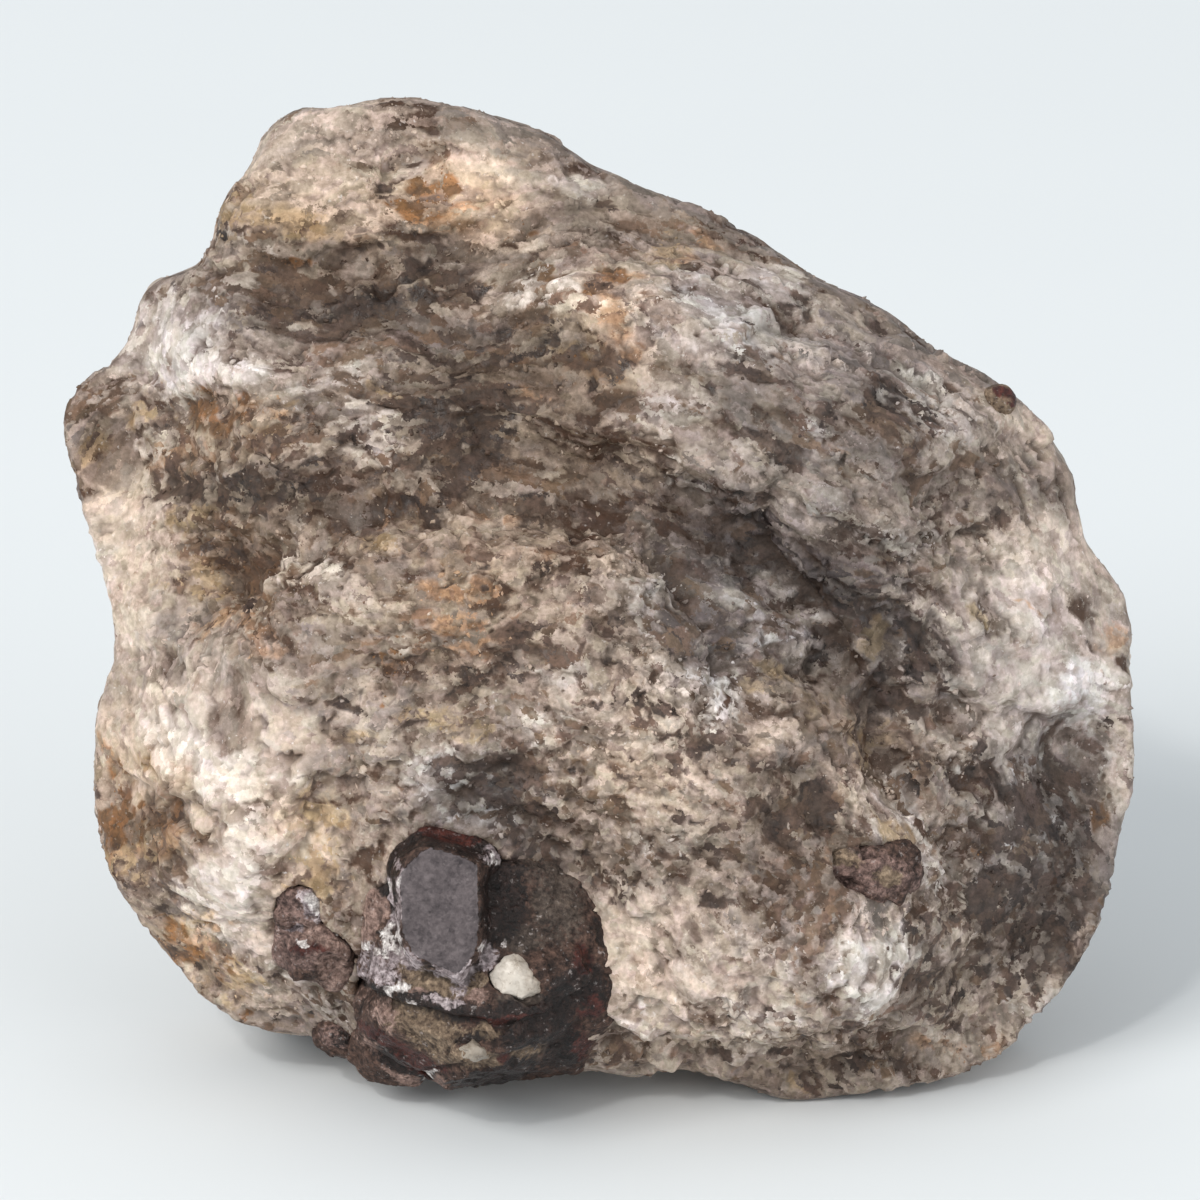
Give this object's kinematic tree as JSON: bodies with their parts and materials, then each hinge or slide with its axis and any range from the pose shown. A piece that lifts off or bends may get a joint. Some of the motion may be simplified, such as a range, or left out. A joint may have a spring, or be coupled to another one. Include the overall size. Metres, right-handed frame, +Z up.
{
  "type": "garnet in matrix",
  "caption": "Natural mineral specimen: dark red garnet crystals in a broken lump of pale, sugary gneiss that rests on its own flat underside.",
  "frame": {"origin": "middle of the bottom of the whole specimen's bounding box, on the surface that it rests on", "axes": "+Z up, +X along the lump's length from left to right as one faces the big garnet, -Y out of the face that carries the garnets, +Y towards the broken back"},
  "size_m": [0.0806, 0.0515, 0.0713],
  "materials": {
    "matrix_rock": "broken, sugary, matt with small glints",
    "garnet": "crystal faces with a dull glassy sheen",
    "quartz": "glassy, clear to milky"
  },
  "bodies": {
    "root": {"matrix": "matrix_rock", "garnet_main": "garnet", "garnet_lower": "garnet", "garnet_left": "garnet", "garnet_edge": "garnet", "garnet_right": "garnet", "garnet_rim": "garnet", "quartz_grain_upper": "quartz", "quartz_grain_lower": "quartz"}
  },
  "joints": []
}
